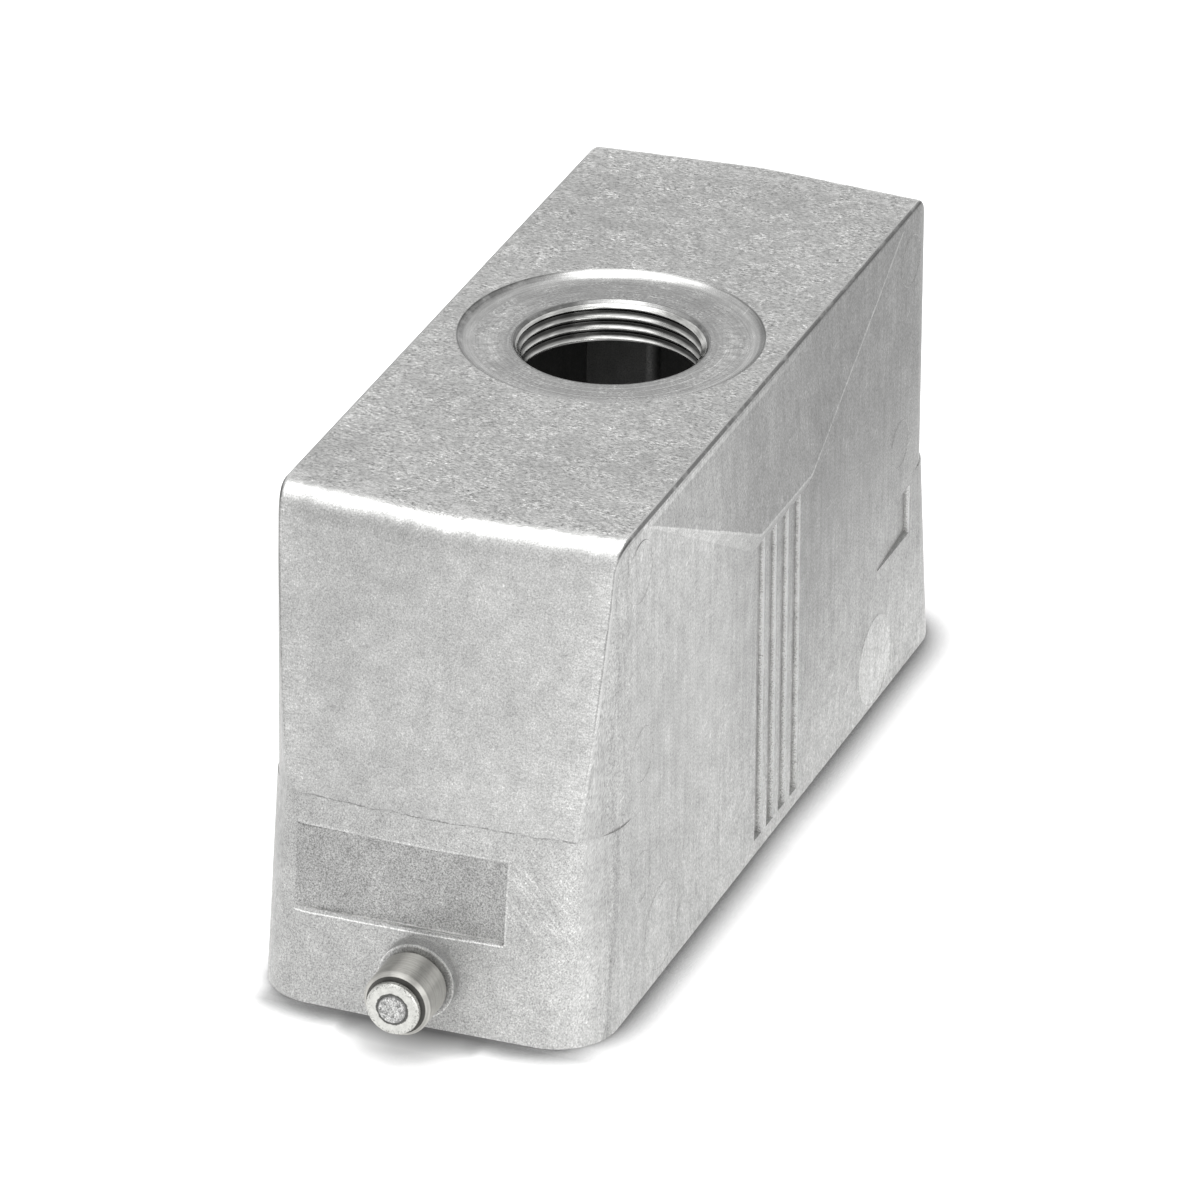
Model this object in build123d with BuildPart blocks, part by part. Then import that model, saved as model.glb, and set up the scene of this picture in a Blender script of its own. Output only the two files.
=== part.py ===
from build123d import *
import math
import os

# Sleeve housing of a rectangular industrial connector: a die-cast hood with a threaded cable
# entry in its roof and a locking roller at each short end. Sizes are in millimetres. The origin
# is the middle of the open rim, +Z points to the roof and +X runs along the long side.

# Outer form of the casting, a long box whose end walls lean in towards the roof
rim_length = 120.0
rim_width = 43.0
height = 61.5
roof_length = 103.2
roof_width = 42.6
rim_crown = 0.3
roof_crown = 1.8
crown_radius = 20.0
roof_end_radius = 4.0

# Die parting line: below it the corners are fully round, above it the end walls are cut flat
skirt_height = 25.5
skirt_corner_radius = 7.5
hood_corner_radius = 12.0
hood_edge_radius = 0.7

# Inside: an open cavity with a pillar in each corner for the contact insert
wall = 3.0
roof_thickness = 6.0
cavity_corner_radius = 4.0
insert_seat_depth = 13.0
insert_screw_spacing_x = 104.0
insert_screw_spacing_y = 27.0
insert_screw_core_radius = 1.65
insert_screw_depth = 12.0
pillar_reach_x = 12.0
pillar_reach_y = 4.3
pillar_edge_radius = 1.5

# Cable entry in the roof
thread_major_radius = 11.25
entry_chamfer = 0.35
seat_radius = 18.2
seat_depth = 0.9
seat_edge_radius = 4.0

# Swelling on each long side, flush with the wall under the roof edge and proudest at its foot
swelling_foot_height = 43.2
swelling_rise = 1.0
swelling_foot_length = 17.4
swelling_top_length = 86.0
swelling_bevel_angle = 60.0
swelling_root = 1.5

# Grip grooves below each swelling
groove_count = 4
groove_pitch = 4.05
groove_width = 2.5
groove_depth = 0.7
groove_bottom_height = 1.9

# Bare label recess on the near end wall, deeper at its front side
label_back_y = 16.4
label_front_y = -9.8
label_bottom = 11.7
label_top = 21.8
label_back_depth = 0.1
label_front_depth = 1.0

# Bare recess low on the front wall, deeper towards the far end
mark_near_x = 35.0
mark_far_x = 46.6
mark_bottom = 17.8
mark_top = 24.3
mark_near_depth = 0.1
mark_far_depth = 0.7

# Room that a cutter needs past the face it starts from
cutter_overrun = 2.0

# Locking peg: cast root and stud, turning roller, washer under the peened stud end
peg_height = 6.4
root_radius = 4.7
root_reach = 1.9
root_embedment = 1.5
stud_radius = 2.6
roller_radius = 4.1
roller_length = 5.7
roller_chamfer = 0.45
running_clearance = 0.05
roller_root_gap = 0.15
roller_washer_gap = 0.35
washer_radius = 3.25
washer_thickness = 0.8
washer_chamfer = 0.15
neck_radius = 1.55
peened_radius = 1.8
peened_rise = 0.3


def between(at_rim, at_roof, z):
    """A size that changes evenly from the rim to the roof, at height z."""
    return at_rim + (at_roof - at_rim) * z / height


def long_wall_y(z):
    """Distance from the middle to the outer face of a long wall."""
    return between(rim_width, roof_width, z) / 2


def end_wall_x(y, z):
    """Distance from the middle to the outer face of an end wall."""
    corner = between(rim_length, roof_length, z) / 2
    crown = between(rim_crown, roof_crown, z)
    return corner + crown * (1 - abs(y) / long_wall_y(z))


def outline_corners(z):
    """Corners of the outline at height z: four at the walls' ends and a ridge on each end wall."""
    side = long_wall_y(z)
    corner = end_wall_x(side, z)
    ridge = end_wall_x(0, z)
    return [(-corner, -side), (corner, -side), (ridge, 0), (corner, side), (-corner, side), (-ridge, 0)]


def is_ridge(vertex):
    """True for the outline's corners in the middle of the end walls."""
    return abs(vertex.Y) < rim_width / 4


# Skirt below the parting line, with round corners
with BuildPart() as skirt:
    for z in (0.0, skirt_height):
        with BuildSketch(Plane.XY.offset(z)) as skirt_section:
            with BuildLine():
                Polyline(*outline_corners(z), close=True)
            make_face()
            fillet(skirt_section.vertices().filter_by(is_ridge), crown_radius)
            fillet(skirt_section.vertices().filter_by(is_ridge, reverse=True), skirt_corner_radius)
    loft(ruled=True)

# Hood above the parting line: the leaning end walls roll over into the roof and cut off the upright
# round corners, and the edges that this leaves are softened
with BuildPart() as upright_corners:
    for z in (skirt_height, height):
        with BuildSketch(Plane.XY.offset(z)):
            RectangleRounded(rim_length, 2 * long_wall_y(z), hood_corner_radius)
    loft(ruled=True)

with BuildPart() as hood:
    for z in (skirt_height, height):
        with BuildSketch(Plane.XY.offset(z)) as hood_section:
            with BuildLine():
                Polyline(*outline_corners(z), close=True)
            make_face()
            fillet(hood_section.vertices().filter_by(is_ridge), crown_radius)
    loft(ruled=True)
    roof_edges = hood.faces().sort_by(Axis.Z)[-1].edges()
    fillet(roof_edges.filter_by(lambda edge: abs(edge.center().X) > roof_length / 2), roof_end_radius)
    add(upright_corners.part, mode=Mode.INTERSECT)
    leaning_edges = hood.edges().filter_by_position(
        Axis.Z, skirt_height + roof_end_radius, height - roof_end_radius
    )
    creases = leaning_edges.filter_by(
        lambda edge: abs(edge.center().X) > roof_length / 2 and abs(edge.center().Y) > rim_width / 4
    )
    fillet(creases, hood_edge_radius)

# Swelling on the front wall: its outer face leans out from the wall, from just under the softened
# roof edge down to its foot
swelling_top_height = height - 2 * hood_edge_radius
foot_y = long_wall_y(swelling_foot_height) + swelling_rise
face_drop = swelling_top_height - swelling_foot_height
face_lean = foot_y - long_wall_y(swelling_top_height)
swelling_face = Plane(
    origin=(0, -foot_y, swelling_foot_height),
    x_dir=(1, 0, 0),
    z_dir=(0, -face_drop, face_lean),
)
with BuildPart() as swelling:
    with BuildSketch(swelling_face):
        with BuildLine():
            Polyline(
                (-swelling_foot_length / 2, 0),
                (swelling_foot_length / 2, 0),
                (swelling_top_length / 2, math.hypot(face_drop, face_lean)),
                (-swelling_top_length / 2, math.hypot(face_drop, face_lean)),
                close=True,
            )
        make_face()
    extrude(amount=-swelling_root, taper=-swelling_bevel_angle)
    split(bisect_by=Plane.XY.offset(height - hood_edge_radius), keep=Keep.BOTTOM)

# Grip grooves on the front wall, from under the swelling to a ledge just above the rim
with BuildPart() as grooves:
    with BuildSketch(Plane.XZ.offset(long_wall_y(0) - groove_depth)):
        with Locations((0, groove_bottom_height)):
            with GridLocations(groove_pitch, 0, groove_count, 1):
                Rectangle(
                    groove_width,
                    swelling_foot_height - groove_bottom_height,
                    align=(Align.CENTER, Align.MIN),
                )
    extrude(amount=groove_depth + cutter_overrun)

# Inner space: one wall thickness inside the outer walls, stepped round the corner pillars
pillar_inner_x = insert_screw_spacing_x / 2 - pillar_reach_x
pillar_inner_y = insert_screw_spacing_y / 2 - pillar_reach_y
with BuildPart() as pillars:
    with BuildSketch(Plane.XY.offset(insert_seat_depth)):
        Rectangle(rim_length, rim_width)
        Rectangle(2 * pillar_inner_x, rim_width, mode=Mode.SUBTRACT)
        Rectangle(rim_length, 2 * pillar_inner_y, mode=Mode.SUBTRACT)
    extrude(amount=height)
    upright_edges = pillars.edges().filter_by(Axis.Z)
    inner_edges = upright_edges.filter_by(
        lambda edge: abs(edge.center().X) < insert_screw_spacing_x / 2
        and abs(edge.center().Y) < insert_screw_spacing_y / 2
    )
    fillet(inner_edges, pillar_edge_radius)

with BuildPart() as cavity:
    for z in (0.0, height - roof_thickness):
        inner_length = 2 * (end_wall_x(long_wall_y(z), z) - wall)
        with BuildSketch(Plane.XY.offset(z)):
            RectangleRounded(inner_length, 2 * (long_wall_y(z) - wall), cavity_corner_radius)
    loft(ruled=True)
    add(pillars.part, mode=Mode.SUBTRACT)

# Cable entry: a turned seat for the gland, a small lead-in and the bore of the thread
seat_floor = height - seat_depth
seat_flat_radius = seat_radius - math.sqrt(seat_edge_radius**2 - (seat_edge_radius - seat_depth) ** 2)
with BuildPart() as cable_entry:
    with BuildSketch(Plane.XZ):
        with BuildLine():
            Polyline(
                (seat_radius, height),
                (seat_radius, height + cutter_overrun),
                (0, height + cutter_overrun),
                (0, height - roof_thickness - cutter_overrun),
                (thread_major_radius, height - roof_thickness - cutter_overrun),
                (thread_major_radius, seat_floor - entry_chamfer),
                (thread_major_radius + entry_chamfer, seat_floor),
                (seat_flat_radius, seat_floor),
            )
            RadiusArc((seat_flat_radius, seat_floor), (seat_radius, height), -seat_edge_radius)
        make_face()
    revolve(axis=Axis.Z)

# Label recess in the near end wall: its flat floor leans with the wall
label_middle = (label_bottom + label_top) / 2
label_back = Vector(label_back_depth - end_wall_x(label_back_y, label_middle), label_back_y, label_middle)
label_front = Vector(label_front_depth - end_wall_x(label_front_y, label_middle), label_front_y, label_middle)
end_wall_lean = Vector(end_wall_x(0, label_bottom) - end_wall_x(0, label_top), 0, label_top - label_bottom)
label_across = label_front - label_back
label_floor = Plane(
    origin=(label_back + label_front) / 2,
    x_dir=label_across,
    z_dir=label_across.cross(end_wall_lean),
)
with BuildPart() as label_recess:
    with BuildSketch(label_floor):
        Rectangle(label_across.length, end_wall_lean.length)
    extrude(amount=cutter_overrun)

# Recess in the front wall near the far end
mark_middle = (mark_bottom + mark_top) / 2
mark_near = Vector(mark_near_x, mark_near_depth - long_wall_y(mark_middle), mark_middle)
mark_far = Vector(mark_far_x, mark_far_depth - long_wall_y(mark_middle), mark_middle)
mark_across = mark_far - mark_near
mark_floor = Plane(
    origin=(mark_near + mark_far) / 2,
    x_dir=mark_across,
    z_dir=mark_across.cross(Vector(0, 0, 1)),
)
with BuildPart() as mark_recess:
    with BuildSketch(mark_floor):
        Rectangle(mark_across.length, mark_top - mark_bottom)
    extrude(amount=cutter_overrun)

# Cast root and stud at the near end, in one with the wall. The stud steps down to a neck for
# the washer, and its end is peened over.
root_start = end_wall_x(0, peg_height) - root_embedment
root_face = end_wall_x(0, peg_height) + root_reach
stud_length = roller_root_gap + roller_length + roller_washer_gap
washer_seat = root_face + stud_length
washer_face = washer_seat + washer_thickness
peg_axis = Axis((0, 0, peg_height), (1, 0, 0))
with BuildPart() as peg:
    with BuildSketch(Plane.XZ):
        with BuildLine():
            Polyline(
                (-root_start, peg_height),
                (-root_start, peg_height + root_radius),
                (-root_face, peg_height + root_radius),
                (-root_face, peg_height + stud_radius),
                (-washer_seat, peg_height + stud_radius),
                (-washer_seat, peg_height + neck_radius),
                (-washer_face, peg_height + neck_radius),
                (-washer_face, peg_height + peened_radius),
                (-washer_face - peened_rise, peg_height + neck_radius),
                (-washer_face - peened_rise, peg_height),
                close=True,
            )
        make_face()
    revolve(axis=peg_axis)

with BuildPart() as housing:
    add(skirt.part)
    add(hood.part)
    add(grooves.part, mode=Mode.SUBTRACT)
    mirror(grooves.part, about=Plane.XZ, mode=Mode.SUBTRACT)
    add(swelling.part)
    mirror(swelling.part, about=Plane.XZ)
    add(label_recess.part, mode=Mode.SUBTRACT)
    add(mark_recess.part, mode=Mode.SUBTRACT)
    add(peg.part)
    mirror(peg.part, about=Plane.YZ)
    add(cavity.part, mode=Mode.SUBTRACT)
    add(cable_entry.part, mode=Mode.SUBTRACT)
    with BuildSketch(Plane.XY.offset(insert_seat_depth)):
        with GridLocations(insert_screw_spacing_x, insert_screw_spacing_y, 2, 2):
            Circle(insert_screw_core_radius)
    extrude(amount=insert_screw_depth, mode=Mode.SUBTRACT)

# Locking rollers and their washers, the same at both ends
os.makedirs("parts", exist_ok=True)
housing.part.label = "housing"
export_step(housing.part, "parts/housing.step")

roller_inner_x = root_face + roller_root_gap
for end_name, side in (("near", -1), ("far", 1)):
    with BuildPart() as roller:
        with BuildSketch(Plane.YZ.offset(side * (roller_inner_x + roller_length / 2))):
            with Locations((0, peg_height)):
                Circle(roller_radius)
                Circle(stud_radius + running_clearance, mode=Mode.SUBTRACT)
        extrude(amount=roller_length / 2, both=True)
        rim_edges = roller.edges().filter_by(GeomType.CIRCLE).group_by(SortBy.RADIUS)[-1]
        chamfer(rim_edges, roller_chamfer)
    roller.part.label = f"{end_name}_roller"
    export_step(roller.part, f"parts/{end_name}_roller.step")

    with BuildPart() as washer:
        with BuildSketch(Plane.YZ.offset(side * (washer_seat + washer_thickness / 2))):
            with Locations((0, peg_height)):
                Circle(washer_radius)
                Circle(neck_radius, mode=Mode.SUBTRACT)
        extrude(amount=washer_thickness / 2, both=True)
        rim_edges = washer.edges().filter_by(GeomType.CIRCLE).group_by(SortBy.RADIUS)[-1]
        chamfer(rim_edges, washer_chamfer)
    washer.part.label = f"{end_name}_washer"
    export_step(washer.part, f"parts/{end_name}_washer.step")
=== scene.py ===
import math

import bmesh
import bpy
from mathutils import Matrix, Vector


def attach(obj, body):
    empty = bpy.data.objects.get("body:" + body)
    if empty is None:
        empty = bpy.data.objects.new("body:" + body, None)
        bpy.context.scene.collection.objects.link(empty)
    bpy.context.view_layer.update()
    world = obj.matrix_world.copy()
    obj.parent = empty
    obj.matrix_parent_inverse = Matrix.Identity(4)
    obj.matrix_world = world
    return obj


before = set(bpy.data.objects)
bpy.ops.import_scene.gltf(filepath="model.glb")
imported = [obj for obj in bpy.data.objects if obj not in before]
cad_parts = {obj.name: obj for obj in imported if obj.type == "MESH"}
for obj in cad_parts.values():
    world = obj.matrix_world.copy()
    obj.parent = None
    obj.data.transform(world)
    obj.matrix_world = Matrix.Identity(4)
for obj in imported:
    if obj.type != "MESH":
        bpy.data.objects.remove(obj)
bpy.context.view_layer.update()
mm = 0.001

# Housing: one pressure die casting in an aluminium-silicon alloy, left unpainted. It leaves the die
# matt and stained. The roof is sanded flat, the roll-overs at its ends are polished by hand, and a
# cutter turns the gland's seat round the cable entry. The pegs' studs are peened over at their ends.
height = 61.5
rim_y = 21.5
side_lean = 0.2
end_lean = 8.4
inner_end_x = 57.1
inner_side_y = 19.2
roof_underside = 55.5
parting_height = 25.5
corner_radius = 12.0
corner_x = 48.0
corner_y = 9.5
roll_over_start = 46.0
seat_radius = 18.2
seat_flat_radius = 15.7
chamfer_radius = 11.6
swelling_foot = (8.7, 43.2)
swelling_slant = (0.442, 0.897)
swelling_y = (21.0, 23.0)
groove_reach_x = 50.0
groove_bottom_y = 20.8
label_y = (-9.8, 16.4)
label_z = (11.7, 21.8)
near_wall_x = (-54.0, -56.0)
filed_y = (-18.0, -10.4)
filed_z = (13.0, 22.0)
far_side_shade_x = (-25.0, 12.0)
far_side_shade_z = (2.0, 42.0)
far_side_shade_y = (5.0, -5.0)
lighter_rim_z = (16.0, 4.0)
end_wall_shade_y = (-18.0, 12.0)
swelling_shade_x = (10.0, -8.0)
polish_and_highlight_z = (54.0, 57.0)
roof_fade_z = (58.5, 60.0)
corner_line_x = (58.0, 58.25)
chatter_highlight_ring = (13.2, 15.4)
tool_line_radii = (12.7, 13.7, 15.1, 16.6)
peg_start_x = (60.9, 61.1)
peg_z = 6.4
peg_root_face = 61.48
peg_root_radius = 4.7
stud_end_x = 68.48
stud_end_radius = 1.8
# Round marks of the ejector pins on the front wall: x, z, diameter and how much brighter the pin left it
ejector_marks = (
    (-45.8, 55.8, 7.5, 1.0), (-44.8, 32.0, 6.7, 1.0), (-45.3, 16.2, 6.2, 1.0), (-38.3, 6.5, 10.8, 1.06),
    (34.7, 6.0, 11.4, 1.2), (42.7, 31.6, 6.0, 1.0), (45.6, 55.0, 6.5, 1.0),
)


def linear(hex_colour):
    """Linear RGBA of an sRGB hex colour."""
    channels = [int(hex_colour[i:i + 2], 16) / 255 for i in (1, 3, 5)]
    return (*[c / 12.92 if c <= 0.04045 else ((c + 0.055) / 1.055) ** 2.4 for c in channels], 1.0)


def add_node(tree, kind, inputs=(), **settings):
    """Add a node. Settings are its properties, inputs its values or the nodes and sockets that feed it."""
    node = tree.nodes.new(kind)
    for name, value in settings.items():
        setattr(node, name, value)
    for name, value in dict(inputs).items():
        if isinstance(value, bpy.types.Node):
            value = value.outputs[0]
        if isinstance(value, bpy.types.NodeSocket):
            tree.links.new(value, node.inputs[name])
        else:
            node.inputs[name].default_value = value
    return node


def new_material(name):
    """An empty material and its node tree."""
    material = bpy.data.materials.new(name)
    material.use_nodes = True
    material.node_tree.nodes.clear()
    return material, material.node_tree


def overlap(tree, masks):
    """What is left where several masks or brightness factors lie on each other."""
    result = masks[0]
    for mask in masks[1:]:
        result = add_node(tree, "ShaderNodeMath", {0: result, 1: mask}, operation="MULTIPLY")
    return result


def band(tree, value, low, high, soft=0.1):
    """1 where a value lies between two limits, with soft borders."""
    return overlap(tree, [
        add_node(tree, "ShaderNodeMapRange", {0: value, 1: low - soft, 2: low + soft}),
        add_node(tree, "ShaderNodeMapRange", {0: value, 1: high + soft, 2: high - soft}),
    ])


def ragged_band(tree, wander, stray, value, low, high, soft=0.1):
    """The same where the line isn't ruled: a noise makes the value stray from place to place."""
    strayed = add_node(tree, "ShaderNodeMath", {0: wander, 1: stray, 2: value}, operation="MULTIPLY_ADD")
    return band(tree, strayed, low, high, soft)


def cast_aluminium():
    """Raw die-cast aluminium: matt grey, mottled at the scale of the die's heat pattern, with fine glints.
    Sanding, polishing and turning leave brighter skins with a direction, and painted highlights and painted
    shade lie over them."""
    material, tree = new_material("raw die-cast aluminium")
    coords = add_node(tree, "ShaderNodeTexCoord")
    place = add_node(
        tree, "ShaderNodeVectorMath", {0: coords.outputs["Object"], "Scale": 1 / mm}, operation="SCALE",
    )
    x, y, z = add_node(tree, "ShaderNodeSeparateXYZ", {0: place}).outputs
    upright = add_node(tree, "ShaderNodeVectorMath", {0: coords.outputs["Normal"]}, operation="ABSOLUTE")
    towards_x, towards_y, _ = add_node(tree, "ShaderNodeSeparateXYZ", {0: upright}).outputs
    turned_up = add_node(tree, "ShaderNodeSeparateXYZ", {0: coords.outputs["Normal"]}).outputs["Z"]
    from_centre = add_node(tree, "ShaderNodeMath", {0: x}, operation="ABSOLUTE")
    from_spine = add_node(tree, "ShaderNodeMath", {0: y}, operation="ABSOLUTE")
    flat_place = add_node(tree, "ShaderNodeVectorMath", {0: place, 1: (1, 1, 0)}, operation="MULTIPLY")
    from_axis = add_node(tree, "ShaderNodeVectorMath", {0: flat_place}, operation="LENGTH").outputs["Value"]
    peg_place = add_node(tree, "ShaderNodeCombineXYZ", {
        1: y, 2: add_node(tree, "ShaderNodeMath", {0: z, 1: peg_z}, operation="SUBTRACT"),
    })
    from_peg = add_node(tree, "ShaderNodeVectorMath", {0: peg_place}, operation="LENGTH").outputs["Value"]
    # Distances from the middle with the walls' lean taken off
    lean_x = add_node(
        tree, "ShaderNodeMath", {0: z, 1: end_lean / height, 2: from_centre}, operation="MULTIPLY_ADD",
    )
    lean_y = add_node(
        tree, "ShaderNodeMath", {0: z, 1: side_lean / height, 2: from_spine}, operation="MULTIPLY_ADD",
    )

    # Where each skin is: roof, end walls, long sides, turned seat, unseen inside, pegs
    high = add_node(tree, "ShaderNodeMapRange", {0: z, 1: roof_fade_z[0], 2: roof_fade_z[1]})
    roof = overlap(tree, [high, add_node(tree, "ShaderNodeMapRange", {0: turned_up, 1: 0.9, 2: 0.99})])
    side = add_node(tree, "ShaderNodeMapRange", {0: towards_y, 1: 0.6, 2: 0.9})
    end = add_node(tree, "ShaderNodeMapRange", {0: towards_x, 1: 0.6, 2: 0.9})
    cutter_reach = add_node(tree, "ShaderNodeMapRange", {0: z, 1: roof_underside, 2: roof_underside + 0.5})
    seat = overlap(tree, [cutter_reach, band(tree, from_axis, 0, seat_radius)])
    inside = overlap(tree, [
        add_node(tree, "ShaderNodeMapRange", {0: z, 1: roof_underside + 0.3, 2: roof_underside}),
        add_node(tree, "ShaderNodeMapRange", {0: lean_x, 1: inner_end_x + 0.3, 2: inner_end_x}),
        add_node(tree, "ShaderNodeMapRange", {0: lean_y, 1: inner_side_y + 0.3, 2: inner_side_y}),
    ])
    past_wall = add_node(tree, "ShaderNodeMapRange", {0: lean_x, 1: peg_start_x[0], 2: peg_start_x[1]})

    # Mottle: broad stains and patches of a few millimetres
    stains = add_node(
        tree, "ShaderNodeTexNoise", {"Vector": place, "Scale": 1 / 14, "Detail": 3, "Roughness": 0.6},
    )
    patches = add_node(
        tree, "ShaderNodeTexNoise", {"Vector": place, "Scale": 1 / 2.6, "Detail": 4, "Roughness": 0.65},
    )

    # Grain: about 0.2 mm, drawn out across the sanded roof and up and down the drafted sides
    across = add_node(tree, "ShaderNodeVectorMath", {0: place, 1: (1, 0.45, 1)}, operation="MULTIPLY")
    down = add_node(tree, "ShaderNodeVectorMath", {0: place, 1: (1, 1, 0.6)}, operation="MULTIPLY")
    wall_grain = add_node(tree, "ShaderNodeMix", {0: side, 4: place, 5: down}, data_type="VECTOR")
    grain_place = add_node(
        tree, "ShaderNodeMix", {0: roof, 4: wall_grain.outputs[1], 5: across}, data_type="VECTOR",
    ).outputs[1]
    grain = add_node(
        tree, "ShaderNodeTexNoise", {"Vector": grain_place, "Scale": 1 / 0.2, "Detail": 3, "Roughness": 0.8},
    )
    glints = add_node(tree, "ShaderNodeTexNoise", {"Vector": grain_place, "Scale": 1 / 0.22, "Detail": 1})

    # Drag marks that the die leaves on the long sides as the casting is pushed out
    drag_place = add_node(tree, "ShaderNodeVectorMath", {0: place, 1: (1, 1, 0.05)}, operation="MULTIPLY")
    drag = add_node(
        tree, "ShaderNodeTexNoise", {"Vector": drag_place, "Scale": 1 / 0.6, "Detail": 3, "Roughness": 0.6},
    )

    # Scratches from handling: sparse, thin, straight and at a slant
    slanted = add_node(
        tree, "ShaderNodeVectorRotate", {"Vector": place, "Axis": (0.5, 0.8, 0.3), "Angle": 0.65},
    )
    scratch_place = add_node(
        tree, "ShaderNodeVectorMath", {0: slanted, 1: (0.05, 1, 1)}, operation="MULTIPLY",
    )
    scratch_noise = add_node(
        tree, "ShaderNodeTexNoise", {"Vector": scratch_place, "Scale": 1 / 0.35, "Detail": 1},
    )
    scratches = overlap(tree, [
        add_node(tree, "ShaderNodeMapRange", {0: scratch_noise, 1: 0.69, 2: 0.74}),
        add_node(tree, "ShaderNodeMapRange", {0: patches, 1: 0.45, 2: 0.6}),
    ])

    # Rubbed strips beside the creases of the end walls, where the flash was linished off
    corner_x_gap = add_node(tree, "ShaderNodeMath", {0: from_centre, 1: corner_x}, operation="SUBTRACT")
    corner_y_gap = add_node(tree, "ShaderNodeMath", {0: lean_y, 1: corner_y}, operation="SUBTRACT")
    corner_gap = add_node(tree, "ShaderNodeVectorMath", {
        0: add_node(tree, "ShaderNodeCombineXYZ", {0: corner_x_gap, 1: corner_y_gap}), 1: (0, 0, 0),
    }, operation="MAXIMUM")
    from_corner = add_node(tree, "ShaderNodeVectorMath", {0: corner_gap}, operation="LENGTH").outputs["Value"]
    into_end_wall = add_node(tree, "ShaderNodeMath", {0: corner_radius, 1: from_corner}, operation="SUBTRACT")
    above_parting = add_node(tree, "ShaderNodeMapRange", {0: z, 1: parting_height, 2: parting_height + 2})
    rub_place = add_node(tree, "ShaderNodeVectorMath", {0: place, 1: (0.2, 0.14, 1)}, operation="MULTIPLY")
    rub = add_node(
        tree, "ShaderNodeTexNoise", {"Vector": rub_place, "Scale": 1 / 0.2, "Detail": 2, "Roughness": 0.7},
    )
    rubbed = overlap(tree, [
        end, above_parting,
        add_node(tree, "ShaderNodeMapRange", {0: into_end_wall, 1: 4.5, 2: 0.3}),
        add_node(tree, "ShaderNodeMapRange", {0: rub, 1: 0.42, 2: 0.62}),
    ])

    # The polished roll-over, with a ragged border; its brightening is partly polish, partly a painted
    # highlight
    ragged = add_node(tree, "ShaderNodeMath", {0: patches, 1: 0.35, 2: -0.175}, operation="MULTIPLY_ADD")
    slope = add_node(tree, "ShaderNodeMath", {0: turned_up, 1: ragged}, operation="ADD")
    polished = overlap(tree, [
        add_node(tree, "ShaderNodeMapRange", {0: from_centre, 1: roll_over_start, 2: roll_over_start + 0.5}),
        add_node(tree, "ShaderNodeMapRange", {0: z, 1: polish_and_highlight_z[0], 2: polish_and_highlight_z[1]}),
        add_node(tree, "ShaderNodeMapRange", {0: slope, 1: 0.62, 2: 0.92}),
        add_node(tree, "ShaderNodeMapRange", {0: slope, 1: 0.995, 2: 0.95}),
    ])

    # The turned seat: fine rings round the axis, chatter marks across them with a painted highlight in two
    # opposite sectors, and a thin line at each edge
    bearing = add_node(tree, "ShaderNodeMath", {0: y, 1: x}, operation="ARCTAN2")
    ring_place = add_node(tree, "ShaderNodeCombineXYZ", {
        0: from_axis, 1: add_node(tree, "ShaderNodeMath", {0: bearing, 1: 0.5}, operation="MULTIPLY"),
    })
    rings = add_node(
        tree, "ShaderNodeTexNoise", {"Vector": ring_place, "Scale": 1 / 0.25, "Detail": 3, "Roughness": 0.7},
    )
    chatter_place = add_node(tree, "ShaderNodeCombineXYZ", {
        0: add_node(tree, "ShaderNodeMath", {0: from_axis, 1: 0.4}, operation="MULTIPLY"),
        1: add_node(tree, "ShaderNodeMath", {0: bearing, 1: 12.0}, operation="MULTIPLY"),
    })
    chatter = add_node(tree, "ShaderNodeTexNoise", {"Vector": chatter_place, "Scale": 1 / 0.7, "Detail": 3})
    highlight_sectors = add_node(tree, "ShaderNodeMath", {
        0: add_node(tree, "ShaderNodeMath", {0: bearing, 1: 2.0, 2: -2.0}, operation="MULTIPLY_ADD"),
    }, operation="SINE")
    chatter_highlight = overlap(tree, [
        seat, band(tree, from_axis, *chatter_highlight_ring, 0.9),
        add_node(tree, "ShaderNodeMapRange", {0: highlight_sectors, 1: 0.0, 2: 0.9}),
        add_node(tree, "ShaderNodeMapRange", {0: chatter, 1: 0.35, 2: 0.6}),
    ])
    # Four deeper tool lines, brightened by a painted highlight that is strongest on the near side
    near_share = add_node(tree, "ShaderNodeMath", {
        0: add_node(tree, "ShaderNodeMath", {0: bearing, 1: 2.6}, operation="ADD"),
    }, operation="COSINE")
    lines = [band(tree, from_axis, r - 0.05, r + 0.05, 0.05) for r in tool_line_radii]
    tool_line_highlight = overlap(tree, [
        seat, add_node(tree, "ShaderNodeMapRange", {0: near_share, 1: 0.2, 2: 0.8}),
        add_node(tree, "ShaderNodeMath", {
            0: add_node(tree, "ShaderNodeMath", {0: lines[0], 1: lines[1]}, operation="ADD"),
            1: add_node(tree, "ShaderNodeMath", {0: lines[2], 1: lines[3]}, operation="ADD"),
        }, operation="ADD"),
    ])
    seat_flat = overlap(tree, [seat, add_node(tree, "ShaderNodeMapRange", {
        0: from_axis, 1: seat_flat_radius + 0.8, 2: seat_flat_radius - 0.4,
    })])
    seat_lines = overlap(tree, [seat, add_node(tree, "ShaderNodeMath", {
        0: band(tree, from_axis, seat_radius - 0.16, seat_radius + 0.1, 0.05),
        1: band(tree, from_axis, chamfer_radius + 0.03, chamfer_radius + 0.15, 0.04),
    }, operation="MAXIMUM")])

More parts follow.
